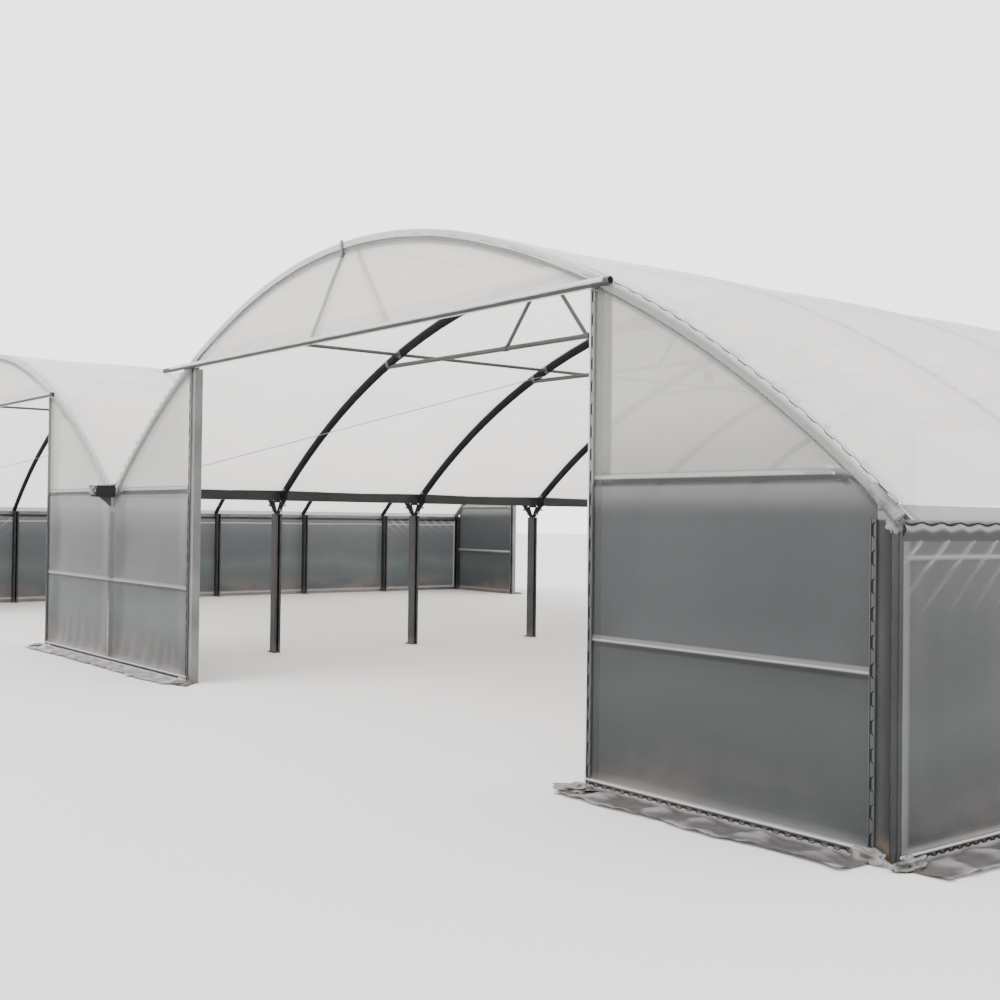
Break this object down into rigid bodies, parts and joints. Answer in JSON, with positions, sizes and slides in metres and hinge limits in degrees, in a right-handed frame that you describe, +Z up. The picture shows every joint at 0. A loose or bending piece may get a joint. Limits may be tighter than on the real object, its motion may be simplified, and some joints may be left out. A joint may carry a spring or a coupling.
{
  "type": "gutter-connected polytunnel greenhouse",
  "caption": "Gutter-connected polytunnel greenhouse with film-clad arched roofs, open gable doorways, galvanized columns and a valley gutter.",
  "frame": {"origin": "on the ground under the valley gutter, half way along the house", "axes": "+X across the spans towards the right, +Y along the tunnels towards the back, +Z up"},
  "size_m": [20.096, 12.766, 3.809],
  "materials": {
    "galvanized": "dull zinc coating",
    "hoop_tube": "dull zinc coating",
    "gutter_sheet": "dull zinc coating",
    "cable": "twisted steel wire",
    "lock_channel": "satin",
    "film": "milky translucent film",
    "skirt_film": "crumpled film"
  },
  "bodies": {
    "root": {"valley_columns": "galvanized", "right_columns": "galvanized", "left_columns": "galvanized", "column_head_plates": "galvanized", "column_foot_plates": "galvanized", "valley_brackets": "galvanized", "right_eave_rail": "galvanized", "left_eave_rail": "galvanized", "side_base_rails": "galvanized", "front_base_rails": "galvanized", "back_base_rails": "galvanized", "front_door_posts": "galvanized", "back_door_posts": "galvanized", "front_gable_rails": "galvanized", "back_gable_rails": "galvanized", "front_headers": "galvanized", "back_headers": "galvanized", "right_hoop_ties": "galvanized", "left_hoop_ties": "galvanized", "right_crown_struts": "galvanized", "left_crown_struts": "galvanized", "ridge_purlins": "galvanized", "haunch_purlins": "galvanized", "right_hoops": "hoop_tube", "left_hoops": "hoop_tube", "front_gable_hoops": "hoop_tube", "back_gable_hoops": "hoop_tube", "valley_gutter": "gutter_sheet", "wind_brace_cables": "cable", "front_lock_channels": "lock_channel", "back_lock_channels": "lock_channel", "side_lock_channels": "lock_channel", "right_roof_film": "film", "left_roof_film": "film", "right_side_film": "film", "left_side_film": "film", "front_lunette_films": "film", "back_lunette_films": "film", "front_right_bay_film": "film", "front_valley_film": "film", "front_left_bay_film": "film", "back_right_bay_film": "film", "back_valley_film": "film", "back_left_bay_film": "film", "ground_skirts": "skirt_film"}
  },
  "joints": []
}
